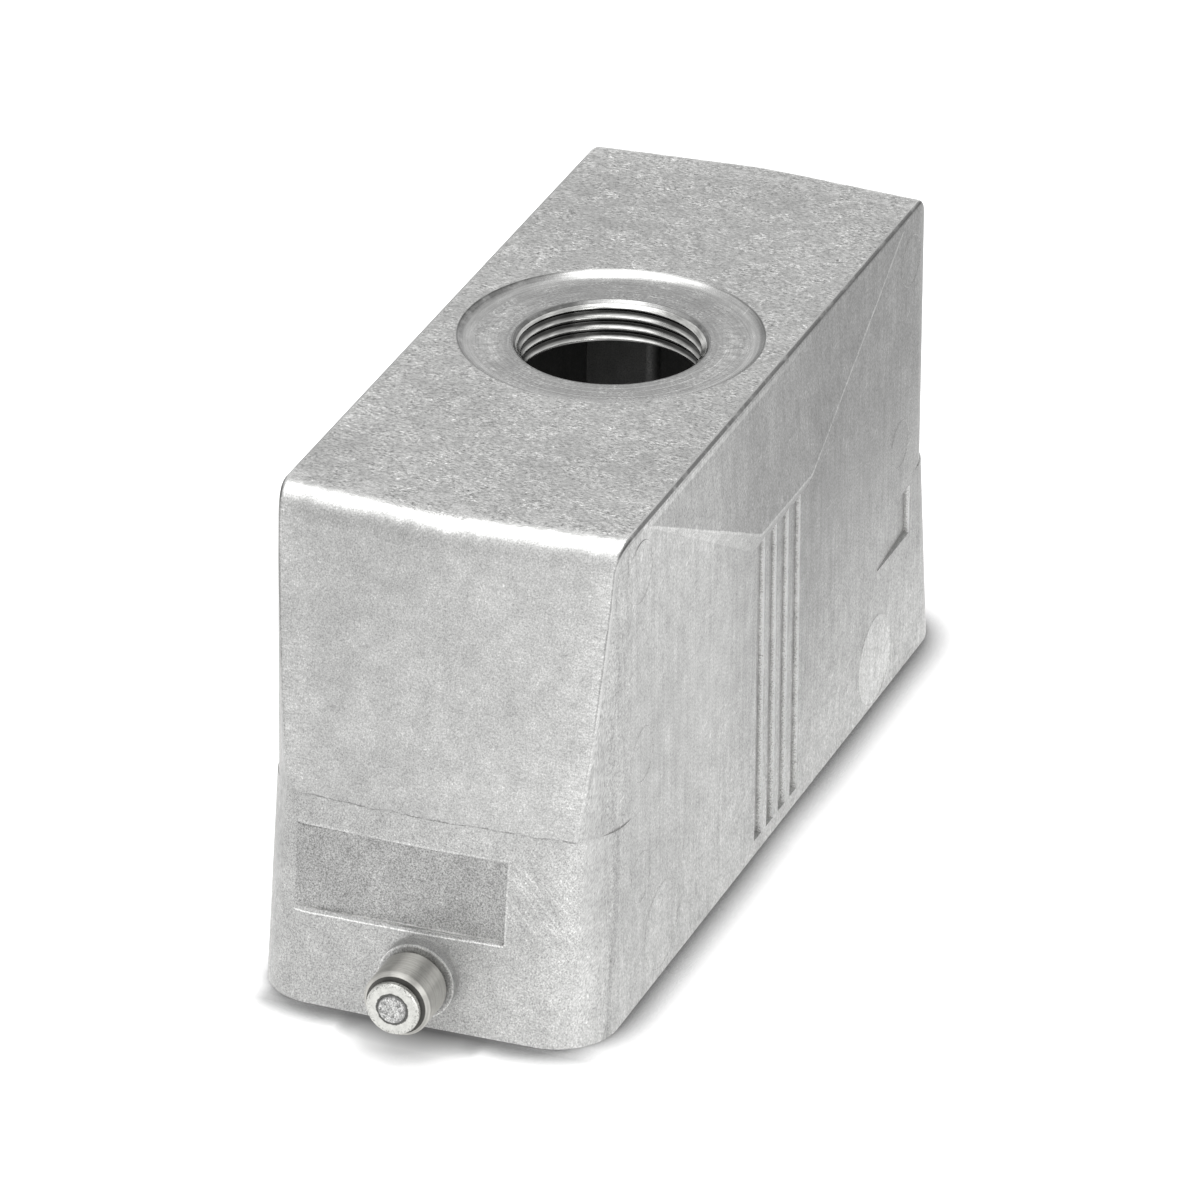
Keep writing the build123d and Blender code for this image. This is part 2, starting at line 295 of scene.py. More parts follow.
    # Thin dark lines: the parting line across the ends, the creases, and the roof's long edges
    wander = add_node(
        tree, "ShaderNodeTexNoise", {"Vector": place, "Scale": 1 / 3, "Detail": 6, "Roughness": 0.7},
    )
    parting_line = overlap(tree, [
        end, ragged_band(tree, wander, 0.9, z, parting_height + 0.37, parting_height + 0.53, 0.06),
        add_node(tree, "ShaderNodeMapRange", {0: patches, 1: 0.4, 2: 0.55}),
    ])
    crease_line = overlap(tree, [
        above_parting,
        add_node(tree, "ShaderNodeMapRange", {0: into_end_wall, 1: 0.07, 2: 0.12}),
        ragged_band(tree, wander, 0.3, into_end_wall, 0.24, 0.42, 0.06),
        add_node(tree, "ShaderNodeMapRange", {0: towards_y, 1: 0.3, 2: 0.5}),
        add_node(tree, "ShaderNodeMapRange", {0: from_centre, 1: corner_x, 2: corner_x + 1}),
    ])
    # A second, broken line on the round corner, where the two halves of the die meet
    corner_line = overlap(tree, [
        side, above_parting, ragged_band(tree, wander, 1.1, lean_x, *corner_line_x, 0.08),
        add_node(tree, "ShaderNodeMapRange", {0: patches, 1: 0.45, 2: 0.6}),
    ])
    roof_edge_line = overlap(tree, [
        high, band(tree, turned_up, 0.45, 0.93, 0.06),
        add_node(tree, "ShaderNodeMapRange", {0: towards_y, 1: 0.3, 2: 0.5}),
        add_node(tree, "ShaderNodeMapRange", {0: patches, 1: 0.35, 2: 0.5, 3: 0.4, 4: 1.0}),
    ])

    # Swelling: painted shade on its leaning face, and painted highlights on its slanted flanks and the line
    # round its edge
    over_foot = add_node(tree, "ShaderNodeMath", {0: z, 1: swelling_foot[1]}, operation="SUBTRACT")
    past_foot = add_node(tree, "ShaderNodeMath", {0: from_centre, 1: swelling_foot[0]}, operation="SUBTRACT")
    from_slant = add_node(tree, "ShaderNodeMath", {
        0: add_node(tree, "ShaderNodeMath", {0: over_foot, 1: swelling_slant[1]}, operation="MULTIPLY"),
        1: add_node(tree, "ShaderNodeMath", {0: past_foot, 1: swelling_slant[0]}, operation="MULTIPLY"),
    }, operation="SUBTRACT")
    from_edge = add_node(tree, "ShaderNodeMath", {0: over_foot, 1: from_slant}, operation="MINIMUM")
    on_swelling = overlap(tree, [
        side, band(tree, turned_up, 0.035, 0.2, 0.01), band(tree, from_spine, *swelling_y),
    ])
    swelling_edge_highlight = overlap(tree, [on_swelling, ragged_band(tree, wander, 0.4, from_edge, 0.1, 0.5, 0.06)])
    lit_flank = overlap(tree, [
        side, band(tree, turned_up, -0.6, -0.35, 0.1), band(tree, from_spine, *swelling_y),
        add_node(tree, "ShaderNodeMapRange", {0: past_foot, 1: -0.5, 2: 0.5}),
    ])

    # Grooves and pockets: their flanks get a painted highlight, strongest at the outer edge
    groove_flank = overlap(tree, [
        add_node(tree, "ShaderNodeMapRange", {0: towards_x, 1: 0.8, 2: 0.95}),
        band(tree, from_centre, 0, groove_reach_x), band(tree, from_spine, groove_bottom_y - 0.2, 22),
    ])
    groove_highlight = add_node(tree, "ShaderNodeMapRange", {
        0: lean_y, 1: groove_bottom_y + 0.1, 2: rim_y, 3: 1.15, 4: 2.6,
    })

    # The label's recess is left as cast, darker and rougher than the rubbed wall round it
    on_near_wall = add_node(tree, "ShaderNodeMapRange", {0: x, 1: near_wall_x[0], 2: near_wall_x[1]})
    label_span = overlap(tree, [band(tree, y, *label_y), on_near_wall])
    label = overlap(tree, [label_span, band(tree, z, *label_z)])
    ledge_place = add_node(tree, "ShaderNodeVectorMath", {0: place, 1: (1, 0.08, 0.3)}, operation="MULTIPLY")
    ledge_noise = add_node(tree, "ShaderNodeTexNoise", {"Vector": ledge_place, "Scale": 1 / 0.3, "Detail": 2})
    # Painted highlight on the upward ledge at the foot of the recess
    ledge_highlight = overlap(tree, [
        label_span, band(tree, z, label_z[0] - 0.1, label_z[0] + 0.3),
        add_node(tree, "ShaderNodeMapRange", {0: turned_up, 1: 0.5, 2: 0.7}),
    ])
    # A second painted highlight, a line under it, drops away towards the back
    falling_z = add_node(tree, "ShaderNodeMath", {0: y, 1: 0.018, 2: z}, operation="MULTIPLY_ADD")
    under_ledge_highlight = overlap(tree, [
        label_span, end,
        ragged_band(tree, wander, 0.25, falling_z, label_z[0] - 0.29, label_z[0] - 0.11, 0.06),
    ])
    # Painted highlight on the rim above and in front of the recess, painted shade just inside those edges
    label_rim_highlight = overlap(tree, [
        end, band(tree, y, label_y[0] - 0.3, label_y[1]), band(tree, z, label_z[0], label_z[1] + 0.35),
        add_node(tree, "ShaderNodeMath", {0: 1.0, 1: label}, operation="SUBTRACT"), on_near_wall,
    ])
    label_edge_shade = overlap(tree, [label, add_node(tree, "ShaderNodeMath", {
        0: band(tree, y, label_y[0], label_y[0] + 0.25, 0.08),
        1: band(tree, z, label_z[1] - 0.2, label_z[1], 0.08),
    }, operation="MAXIMUM")])
    # File strokes beside the recess
    filed_turn = add_node(
        tree, "ShaderNodeVectorRotate", {"Vector": place, "Angle": -0.88}, rotation_type="X_AXIS",
    )
    filed_place = add_node(
        tree, "ShaderNodeVectorMath", {0: filed_turn, 1: (0.2, 0.05, 1)}, operation="MULTIPLY",
    )
    filed_noise = add_node(
        tree, "ShaderNodeTexNoise", {"Vector": filed_place, "Scale": 1 / 0.28, "Detail": 2},
    )
    filed = overlap(tree, [
        band(tree, y, *filed_y, 1.0), band(tree, z, *filed_z, 2.0), on_near_wall,
        add_node(tree, "ShaderNodeMapRange", {0: filed_noise, 1: 0.52, 2: 0.66}),
    ])

    # Pegs: the cast root has a rough bright rim, the peened stud end is a mottled island in a dark gap of
    # painted shade
    peg_noise = add_node(
        tree, "ShaderNodeTexNoise", {"Vector": place, "Scale": 1 / 0.5, "Detail": 3, "Roughness": 0.7},
    )
    on_root = overlap(tree, [past_wall, band(tree, from_peg, 2.8, peg_root_radius + 0.3)])
    root_rim = overlap(tree, [
        on_root, ragged_band(tree, peg_noise, 0.6, from_peg, peg_root_radius + 0.15, peg_root_radius + 1),
        band(tree, from_centre, peg_root_face - 0.3, peg_root_face + 0.2),
    ])
    on_stud_end = add_node(tree, "ShaderNodeMapRange", {0: from_centre, 1: stud_end_x - 0.1, 2: stud_end_x})
    stud_gap_shade = overlap(tree, [
        on_stud_end, ragged_band(tree, peg_noise, 0.6, from_peg, stud_end_radius + 0.15, 4, 0.08),
    ])

    # Ejector marks: slightly brighter discs inside the thin rings of flash
    wall_place = add_node(tree, "ShaderNodeCombineXYZ", {0: x, 2: z})
    pin_shine = overlap(tree, [
        add_node(tree, "ShaderNodeMapRange", {
            0: add_node(
                tree, "ShaderNodeVectorMath", {0: wall_place, 1: (mark_x, 0, mark_z)}, operation="DISTANCE",
            ).outputs["Value"],
            1: mark_size / 2, 2: mark_size / 2 - 0.2, 3: 1.0, 4: shine,
        })
        for mark_x, mark_z, mark_size, shine in ejector_marks if shine > 1
    ])

    speckle = overlap(tree, [
        add_node(tree, "ShaderNodeMapRange", {0: glints, 1: 0.62, 2: 0.7}),
        add_node(tree, "ShaderNodeMapRange", {0: patches, 1: 0.45, 2: 0.6, 3: 0.1, 4: 1.0}),
        add_node(tree, "ShaderNodeMapRange", {0: roof, 3: 0.4, 4: 1.0}),
    ])
    pits = overlap(tree, [
        add_node(tree, "ShaderNodeMapRange", {0: glints, 1: 0.34, 2: 0.27}),
        add_node(tree, "ShaderNodeMapRange", {0: patches, 1: 0.5, 2: 0.4, 3: 0.2, 4: 1.0}),
    ])
    # How strongly the grain shows: most on the stud's end and in clusters on the roof, least on the seat
    low_end = overlap(tree, [end, add_node(tree, "ShaderNodeMapRange", {
        0: z, 1: parting_height + 0.5, 2: parting_height - 1.5,
    })])
    clusters = overlap(tree, [
        roof, add_node(tree, "ShaderNodeMapRange", {0: patches, 1: 0.4, 2: 0.6, 3: 0.3, 4: 1.7}),
    ])
    grain_depth = 2.0
    for mask, more in ((clusters, 1.4), (low_end, 0.6), (label, 0.8), (on_stud_end, 1.5), (seat, -1.2)):
        grain_depth = add_node(
            tree, "ShaderNodeMath", {0: mask, 1: more, 2: grain_depth}, operation="MULTIPLY_ADD",
        )
    grain_rise = add_node(tree, "ShaderNodeMath", {0: grain, 1: 0.5}, operation="SUBTRACT")
    factors = [
        add_node(tree, "ShaderNodeMath", {0: grain_rise, 1: grain_depth, 2: 1.0}, operation="MULTIPLY_ADD"),
        add_node(tree, "ShaderNodeMix", {
            0: add_node(tree, "ShaderNodeMapRange", {0: y, 1: -rim_y + 1, 2: -rim_y + 0.5}),
            2: 1.0, 3: pin_shine,
        }, data_type="FLOAT"),
        add_node(tree, "ShaderNodeMapRange", {0: stains, 1: 0.3, 2: 0.7, 3: 0.93, 4: 1.06}),
        add_node(tree, "ShaderNodeMapRange", {0: patches, 1: 0.3, 2: 0.7, 3: 0.91, 4: 1.08}),
        add_node(tree, "ShaderNodeMapRange", {0: overlap(tree, [
            side, add_node(tree, "ShaderNodeMapRange", {0: drag, 1: 0.3, 2: 0.7, 3: -1, 4: 1}),
        ]), 1: -1, 2: 1, 3: 0.9, 4: 1.1}),
        # Painted shade on the long sides, darker towards their far upper part, most on the front side
        add_node(tree, "ShaderNodeMapRange", {0: overlap(tree, [
            side,
            add_node(tree, "ShaderNodeMapRange", {0: z, 1: far_side_shade_z[0], 2: far_side_shade_z[1]}),
            add_node(tree, "ShaderNodeMapRange", {0: x, 1: far_side_shade_x[0], 2: far_side_shade_x[1]}),
            add_node(tree, "ShaderNodeMapRange", {
                0: y, 1: far_side_shade_y[0], 2: far_side_shade_y[1], 3: 0.35, 4: 1.0,
            }),
        ]), 3: 1.0, 4: 0.53}),
        # Painted light and shade across the end walls: lighter towards the front side, darker towards the
        # back
        add_node(tree, "ShaderNodeMapRange", {0: overlap(tree, [
            end, add_node(
                tree, "ShaderNodeMapRange", {0: y, 1: end_wall_shade_y[0], 2: end_wall_shade_y[1], 3: -1, 4: 1},
            ),
        ]), 1: -1, 2: 1, 3: 1.06, 4: 0.92}),
        # Painted shade on the swelling's leaning face, darker towards the near end
        add_node(tree, "ShaderNodeMapRange", {0: overlap(tree, [
            on_swelling,
            add_node(tree, "ShaderNodeMapRange", {0: x, 1: swelling_shade_x[0], 2: swelling_shade_x[1]}),
        ]), 3: 1.0, 4: 0.8}),
        add_node(tree, "ShaderNodeMix", {0: groove_flank, 2: 1.0, 3: groove_highlight}, data_type="FLOAT"),
        # The side is lighter towards the rim, and the stud's end is mottled from the peening
        add_node(tree, "ShaderNodeMapRange", {0: overlap(tree, [
            side, add_node(tree, "ShaderNodeMapRange", {0: z, 1: lighter_rim_z[0], 2: lighter_rim_z[1]}),
        ]), 3: 1.0, 4: 1.1}),
        add_node(tree, "ShaderNodeMix", {
            0: on_stud_end, 2: 1.0,
            3: add_node(tree, "ShaderNodeMapRange", {0: peg_noise, 1: 0.38, 2: 0.56, 3: 0.45, 4: 1.1}),
        }, data_type="FLOAT"),
        add_node(tree, "ShaderNodeMix", {
            0: ledge_highlight, 2: 1.0,
            3: add_node(tree, "ShaderNodeMapRange", {0: ledge_noise, 1: 0.35, 2: 0.55, 3: 1.0, 4: 2.2}),
        }, data_type="FLOAT"),
        add_node(tree, "ShaderNodeMix", {
            0: seat, 2: 1.0, 3: add_node(
                tree, "ShaderNodeMapRange", {0: rings, 1: 0.35, 2: 0.65, 3: 0.84, 4: 1.18},
            ),
        }, data_type="FLOAT"),
        *(
            add_node(tree, "ShaderNodeMapRange", {0: mask, 3: 1.0, 4: factor})
            for mask, factor in (
                # The roll-overs' brightening is partly polish and partly a painted highlight
                (speckle, 1.6), (pits, 0.7), (scratches, 1.3), (rubbed, 1.22), (polished, 1.5),
                # Painted shade: the roof and the long sides a little darker than the end walls, the unseen
                # inside much darker
                (roof, 0.92), (side, 0.97), (inside, 0.5),
                # Painted highlights at the recess's foot and rim, painted shade just inside its upper and
                # front edges
                (label, 0.84), (under_ledge_highlight, 1.8), (label_rim_highlight, 1.2), (label_edge_shade, 0.6), (filed, 1.3),
                # Painted highlights on the seat's chatter marks and tool lines
                (seat, 0.92), (seat_flat, 0.84), (chatter_highlight, 1.6), (tool_line_highlight, 1.6), (seat_lines, 0.55),
                # Painted highlights on the swelling's edge line and its slanted flanks
                (swelling_edge_highlight, 1.5), (lit_flank, 1.15),
                # Painted shade in the gap round the stud's end
                (on_root, 0.85), (root_rim, 1.8), (on_stud_end, 1.1), (stud_gap_shade, 0.3),
                (parting_line, 0.5), (crease_line, 0.55), (corner_line, 0.7), (roof_edge_line, 0.4),
            )
        ),
    ]
    base = add_node(
        tree, "ShaderNodeVectorMath",
        {0: linear("#b2b2b1")[:3], "Scale": overlap(tree, factors)}, operation="SCALE",
    )
    worked = add_node(tree, "ShaderNodeMath", {0: polished, 1: seat}, operation="MAXIMUM")
    gloss = add_node(tree, "ShaderNodeMapRange", {0: worked, 3: 0.52, 4: 0.24})
    relief = add_node(tree, "ShaderNodeMix", {0: seat, 2: grain, 3: rings}, data_type="FLOAT").outputs[0]
    bump = add_node(tree, "ShaderNodeBump", {"Height": relief, "Distance": 0.02 * mm, "Strength": 0.6})
    shader = add_node(
        tree, "ShaderNodeBsdfPrincipled",
        {"Base Color": base, "Metallic": 1.0, "Roughness": gloss, "Normal": bump},
    )
    add_node(tree, "ShaderNodeOutputMaterial", {"Surface": shader})
    return material


housing_skin = cast_aluminium()
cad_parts["housing"].material_slots[0].material = housing_skin


# Flash rings of the ejector marks: a thin raised ring of metal stands on the front wall round each pin.
# Cast in one with the wall, so they have its skin.
flash_width = 0.22
flash_rise = 0.07
flash_root = 0.06
flash_steps = 96


def flash_rings():
    """One closed ring with a pointed section for each mark, its foot set into the leaning front wall."""
    mesh = bmesh.new()
    for mark_x, mark_z, mark_size, _ in ejector_marks:
        radius = mark_size / 2
        section = (
            (radius - flash_width / 2, -flash_root), (radius - flash_width / 2, 0), (radius, flash_rise),
            (radius + flash_width / 2, 0), (radius + flash_width / 2, -flash_root),
        )
        loops = []
        for r, rise in section:
            loop = []
            for step in range(flash_steps):
                turn = 2 * math.pi * step / flash_steps
                at_z = mark_z + r * math.sin(turn)
                at_x = mark_x + r * math.cos(turn)
                round_corner = math.sqrt(corner_radius ** 2 - max(abs(at_x) - corner_x, 0) ** 2)
                at_y = -(corner_y + round_corner - side_lean * at_z / height + rise)
                loop.append(mesh.verts.new((at_x * mm, at_y * mm, at_z * mm)))
            loops.append(loop)
        for first, second in zip(loops, loops[1:] + loops[:1]):
            for step in range(flash_steps):
                after = (step + 1) % flash_steps
                mesh.faces.new((first[step], second[step], second[after], first[after]))
    bmesh.ops.recalc_face_normals(mesh, faces=mesh.faces)
    data = bpy.data.meshes.new("ejector_marks")
    mesh.to_mesh(data)
    mesh.free()
    return data


marks = bpy.data.objects.new("ejector_marks", flash_rings())
marks.data.materials.append(housing_skin)
bpy.context.scene.collection.objects.link(marks)
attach(marks, "housing")


# Cable entry thread: cut in one pass by a tap, so its flanks are bright and smooth. It starts in the
# roof's chamfer and runs out at the underside of the roof.
thread_radius = 11.25
thread_pitch = 1.41
thread_crest_radius = 10.6
thread_bottom = 55.5
thread_top = 60.25
thread_run_out = 0.3
thread_row = 0.06
thread_steps = 240
thread_sharpness = 0.96
thread_seat = 0.03


def thread_depth(turn):
    """Share of the way from crest to root, at a place counted in turns from a root: a rounded triangle."""
    wave = math.asin(thread_sharpness * math.cos(2 * math.pi * turn)) / math.asin(thread_sharpness)
    return (1 + wave) / 2


def tapped_thread():
    """The inner skin of the thread from bottom to top, closed by a wall set just into the casting."""
    mesh = bmesh.new()
    rows = math.ceil((thread_top - thread_bottom) / thread_row)
    rings = []
    for row in range(rows + 1):
        z = thread_bottom + (thread_top - thread_bottom) * row / rows
        limit = max(thread_crest_radius + (z - thread_top) + (thread_radius - thread_crest_radius),
                    thread_crest_radius + thread_run_out - (z - thread_bottom))
        ring = []
        for step in range(thread_steps):
            share = step / thread_steps
            depth = (thread_radius - thread_crest_radius) * thread_depth(z / thread_pitch - share)
            r = min(max(thread_crest_radius + depth, limit), thread_radius)
            turn = 2 * math.pi * share
            ring.append(mesh.verts.new((r * mm * math.cos(turn), r * mm * math.sin(turn), z * mm)))
        rings.append(ring)
    outside = thread_radius + thread_seat
    for z in (thread_top - thread_seat, thread_bottom):
        rings.append([
            mesh.verts.new((outside * mm * math.cos(2 * math.pi * step / thread_steps),
                            outside * mm * math.sin(2 * math.pi * step / thread_steps), z * mm))
            for step in range(thread_steps)
        ])
    for lower, upper in zip(rings, rings[1:] + rings[:1]):
        for step in range(thread_steps):
            after = (step + 1) % thread_steps
            mesh.faces.new((lower[step], upper[step], upper[after], lower[after]))
    bmesh.ops.recalc_face_normals(mesh, faces=mesh.faces)
    data = bpy.data.meshes.new("cable_entry_thread")
    mesh.to_mesh(data)
    mesh.free()
    data.shade_smooth()
    return data


def tapped_aluminium():
    """Freshly tapped aluminium: bright and smooth, with fine cutting lines, and painted shade in its roots.
    """
    material, tree = new_material("tapped aluminium")
    coords = add_node(tree, "ShaderNodeTexCoord")
    place = add_node(
        tree, "ShaderNodeVectorMath", {0: coords.outputs["Object"], "Scale": 1 / mm}, operation="SCALE",
    )
    flat_place = add_node(tree, "ShaderNodeVectorMath", {0: place, 1: (1, 1, 0)}, operation="MULTIPLY")
    from_axis = add_node(tree, "ShaderNodeVectorMath", {0: flat_place}, operation="LENGTH").outputs["Value"]
    cut_place = add_node(tree, "ShaderNodeVectorMath", {0: place, 1: (0.06, 0.06, 1)}, operation="MULTIPLY")
    lines = add_node(
        tree, "ShaderNodeTexNoise", {"Vector": cut_place, "Scale": 1 / 0.12, "Detail": 3, "Roughness": 0.7},
    )
    smears = add_node(tree, "ShaderNodeTexNoise", {"Vector": place, "Scale": 1 / 3, "Detail": 3})
    z = add_node(tree, "ShaderNodeSeparateXYZ", {0: place}).outputs["Z"]
    below_lead_in = add_node(tree, "ShaderNodeMapRange", {0: z, 1: thread_top - 0.5, 2: thread_top - 0.7})
    root = add_node(tree, "ShaderNodeMapRange", {
        0: from_axis, 1: thread_crest_radius + 0.05, 2: thread_crest_radius + 0.4,
    })
    # Painted light and shade: the roots below the lead-in are darkened, the rest lightened a little
    shade = overlap(tree, [
        add_node(tree, "ShaderNodeMapRange", {0: overlap(tree, [below_lead_in, root]), 3: 1.15, 4: 0.12}),
        add_node(tree, "ShaderNodeMapRange", {0: lines, 1: 0.3, 2: 0.7, 3: 0.6, 4: 1.3}),
        add_node(tree, "ShaderNodeMapRange", {0: smears, 1: 0.3, 2: 0.7, 3: 0.7, 4: 1.15}),
    ])
    base = add_node(
        tree, "ShaderNodeVectorMath", {0: linear("#b8b8b6")[:3], "Scale": shade}, operation="SCALE",
    )
    gloss = add_node(tree, "ShaderNodeMapRange", {0: smears, 1: 0.3, 2: 0.7, 3: 0.14, 4: 0.24})
    bump = add_node(tree, "ShaderNodeBump", {"Height": lines, "Distance": 0.01 * mm, "Strength": 0.5})
    shader = add_node(
        tree, "ShaderNodeBsdfPrincipled",
        {"Base Color": base, "Metallic": 1.0, "Roughness": gloss, "Normal": bump},
    )
    add_node(tree, "ShaderNodeOutputMaterial", {"Surface": shader})
    return material


thread = bpy.data.objects.new("cable_entry_thread", tapped_thread())
thread.data.materials.append(tapped_aluminium())
bpy.context.scene.collection.objects.link(thread)
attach(thread, "housing")


# Rollers: steel sleeves turned on a lathe and polished, which spin on the studs. The fine rings of the
# turning draw the light out along the barrel. Their end faces get painted shade, the chamfers a painted
# highlight.
def turned_steel():
    """Turned and polished steel: grey, with rings round its axis and scuffs, painted shade on the end faces
    and a painted highlight on the chamfers.
    """
    material, tree = new_material("turned steel")
    coords = add_node(tree, "ShaderNodeTexCoord")
    place = add_node(
        tree, "ShaderNodeVectorMath", {0: coords.outputs["Object"], "Scale": 1 / mm}, operation="SCALE",
    )
    upright = add_node(tree, "ShaderNodeVectorMath", {0: coords.outputs["Normal"]}, operation="ABSOLUTE")
    towards_x = add_node(tree, "ShaderNodeSeparateXYZ", {0: upright}).outputs["X"]
    ring_place = add_node(tree, "ShaderNodeVectorMath", {0: place, 1: (1, 0.03, 0.03)}, operation="MULTIPLY")
    rings = add_node(
        tree, "ShaderNodeTexNoise", {"Vector": ring_place, "Scale": 1 / 0.18, "Detail": 3, "Roughness": 0.7},
    )
    scuffs = add_node(
        tree, "ShaderNodeTexNoise", {"Vector": place, "Scale": 1 / 1.1, "Detail": 5, "Roughness": 0.75},
    )
    shade = overlap(tree, [
        add_node(tree, "ShaderNodeMapRange", {0: rings, 1: 0.3, 2: 0.7, 3: 0.8, 4: 1.15}),
        add_node(tree, "ShaderNodeMapRange", {0: scuffs, 1: 0.3, 2: 0.7, 3: 0.88, 4: 1.1}),
        # Painted shade on the end faces and a painted highlight on the chamfers
        add_node(tree, "ShaderNodeMapRange", {0: towards_x, 1: 0.9, 2: 0.97, 3: 1.0, 4: 0.25}),
        add_node(tree, "ShaderNodeMapRange", {0: towards_x, 1: 0.4, 2: 0.6, 3: 1.0, 4: 1.35}),
    ])
    base = add_node(
        tree, "ShaderNodeVectorMath", {0: linear("#a09f9b")[:3], "Scale": shade}, operation="SCALE",
    )
    gloss = add_node(tree, "ShaderNodeMapRange", {0: scuffs, 1: 0.3, 2: 0.7, 3: 0.42, 4: 0.5})
    bump = add_node(tree, "ShaderNodeBump", {"Height": rings, "Distance": 0.006 * mm, "Strength": 0.5})
    along = add_node(tree, "ShaderNodeTangent", direction_type="RADIAL", axis="X")
    shader = add_node(tree, "ShaderNodeBsdfPrincipled", {
        "Base Color": base, "Metallic": 1.0, "Roughness": gloss, "Normal": bump, "Tangent": along,
        "Anisotropic": 0.95, "Anisotropic Rotation": 0.25,
    })
    add_node(tree, "ShaderNodeOutputMaterial", {"Surface": shader})
    return material


steel = turned_steel()
for end in ("near", "far"):
    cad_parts[f"{end}_roller"].material_slots[0].material = steel


# Washers: punched from zinc-plated steel sheet, held by the stud's peened end. The plating is pale and
# satin, the punched rim is rough, and painted shade darkens the gap that the peening left round the stud.
washer_rim_radius = 3.05
washer_hole_radius = 1.8


def zinc_plated_steel():
    """Satin zinc plating: pale, faintly cloudy, with dark nicks at the rim and handling marks."""
    material, tree = new_material("zinc-plated steel")
    coords = add_node(tree, "ShaderNodeTexCoord")
    place = add_node(
        tree, "ShaderNodeVectorMath", {0: coords.outputs["Object"], "Scale": 1 / mm}, operation="SCALE",
    )
    _, y, z = add_node(tree, "ShaderNodeSeparateXYZ", {0: place}).outputs
    peg_place = add_node(tree, "ShaderNodeCombineXYZ", {
        1: y, 2: add_node(tree, "ShaderNodeMath", {0: z, 1: peg_z}, operation="SUBTRACT"),
    })
    from_peg = add_node(tree, "ShaderNodeVectorMath", {0: peg_place}, operation="LENGTH").outputs["Value"]
    clouds = add_node(
        tree, "ShaderNodeTexNoise", {"Vector": place, "Scale": 1 / 0.9, "Detail": 4, "Roughness": 0.7},
    )
    nicks = add_node(
        tree, "ShaderNodeTexNoise", {"Vector": place, "Scale": 1 / 0.22, "Detail": 2, "Roughness": 0.7},
    )
    ragged = add_node(tree, "ShaderNodeMath", {0: clouds, 1: 0.5, 2: from_peg}, operation="MULTIPLY_ADD")
    # Painted shade in the gap round the stud
    gap = add_node(tree, "ShaderNodeMapRange", {
        0: ragged, 1: washer_hole_radius + 0.5, 2: washer_hole_radius + 0.42,
    })
    rim_nicks = overlap(tree, [
        add_node(tree, "ShaderNodeMapRange", {0: from_peg, 1: washer_rim_radius - 0.5, 2: washer_rim_radius}),
        add_node(tree, "ShaderNodeMapRange", {0: nicks, 1: 0.52, 2: 0.6}),
    ])
    shade = overlap(tree, [
        add_node(tree, "ShaderNodeMapRange", {0: clouds, 1: 0.3, 2: 0.7, 3: 0.8, 4: 1.12}),
        add_node(tree, "ShaderNodeMapRange", {0: nicks, 1: 0.25, 2: 0.4, 3: 0.6, 4: 1.0}),
        add_node(tree, "ShaderNodeMapRange", {0: rim_nicks, 3: 1.0, 4: 0.45}),
        add_node(tree, "ShaderNodeMapRange", {0: gap, 3: 1.0, 4: 0.2}),
    ])
    base = add_node(
        tree, "ShaderNodeVectorMath", {0: linear("#c9c9c5")[:3], "Scale": shade}, operation="SCALE",
    )
    gloss = add_node(tree, "ShaderNodeMapRange", {0: clouds, 1: 0.3, 2: 0.7, 3: 0.38, 4: 0.52})
    bump = add_node(tree, "ShaderNodeBump", {"Height": nicks, "Distance": 0.02 * mm, "Strength": 0.5})
    shader = add_node(
        tree, "ShaderNodeBsdfPrincipled",
        {"Base Color": base, "Metallic": 1.0, "Roughness": gloss, "Normal": bump},
    )
    add_node(tree, "ShaderNodeOutputMaterial", {"Surface": shader})
    return material


plating = zinc_plated_steel()
for end in ("near", "far"):
    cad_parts[f"{end}_washer"].material_slots[0].material = plating


# Floor: a white studio sheet. It is a little brighter to the camera than its own light makes it, so
# that the background is white. Its shadow is a painted shadow that gathers close round the part's foot,
# least on the side away from the front, and weaker under the peg.
floor_size = 6.0
shadow_reach = 7.0
end_shade_x = (-58.0, -61.0)
peg_shade_x = (-61.0, -66.0)
peg_shade_y = (12.0, 6.0)
back_shade_y = (19.0, 23.0)
lift_strength = 0.55


